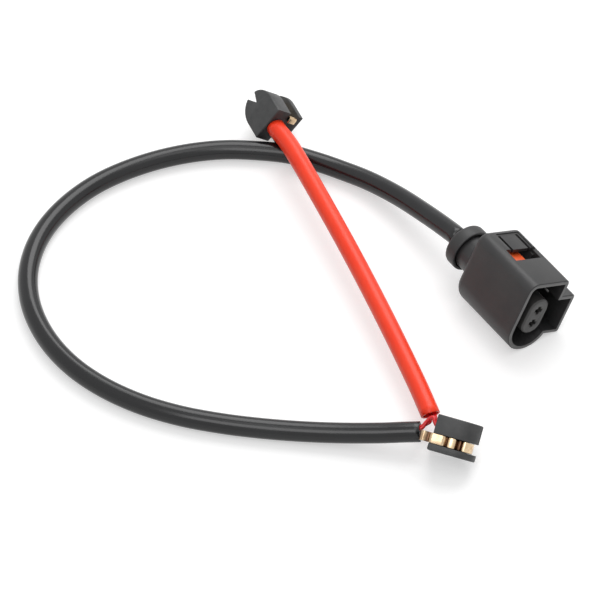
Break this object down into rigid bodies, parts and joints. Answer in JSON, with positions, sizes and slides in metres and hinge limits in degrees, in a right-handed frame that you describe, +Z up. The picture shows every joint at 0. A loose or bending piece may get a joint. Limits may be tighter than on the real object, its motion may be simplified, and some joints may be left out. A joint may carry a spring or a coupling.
{
  "type": "brake pad wear sensor",
  "caption": "Brake pad wear sensor lead: sealed black plug with a latch channel, looped black sheath and a red sleeve joining clip-in sensor heads with brass spring clips.",
  "frame": {"origin": "on the floor under the middle of the rigid pieces' box", "axes": "+X is the way the plug is pushed home, out of its open face; +Z is up as the lead lies on a table"},
  "size_m": [0.1677, 0.1441, 0.0269],
  "materials": {
    "black_nylon": "satin moulded",
    "black_rubber": "smooth matt",
    "orange_nylon": "satin moulded",
    "sheath_black": "smooth satin",
    "sleeve_red": "smooth satin",
    "wire_red": "smooth",
    "clip_brass": "rolled strip",
    "terminal_tin": "tinned"
  },
  "bodies": {
    "root": {"connector_housing": "black_nylon", "secondary_lock": "orange_nylon", "terminal_carrier": "black_nylon", "interface_seal": "black_rubber", "wire_seal": "black_rubber", "cable_boot": "black_rubber", "terminal_upper": "terminal_tin", "terminal_lower": "terminal_tin", "lead_wire_upper": "sheath_black", "lead_wire_lower": "sheath_black", "near_head_body": "black_nylon", "near_head_clip": "clip_brass", "far_head_body": "black_nylon", "far_head_clip": "clip_brass", "near_loop_wire": "wire_red", "return_wire": "wire_red", "far_loop_wire": "wire_red", "black_sheath": "sheath_black", "red_sleeve": "sleeve_red"}
  },
  "joints": []
}
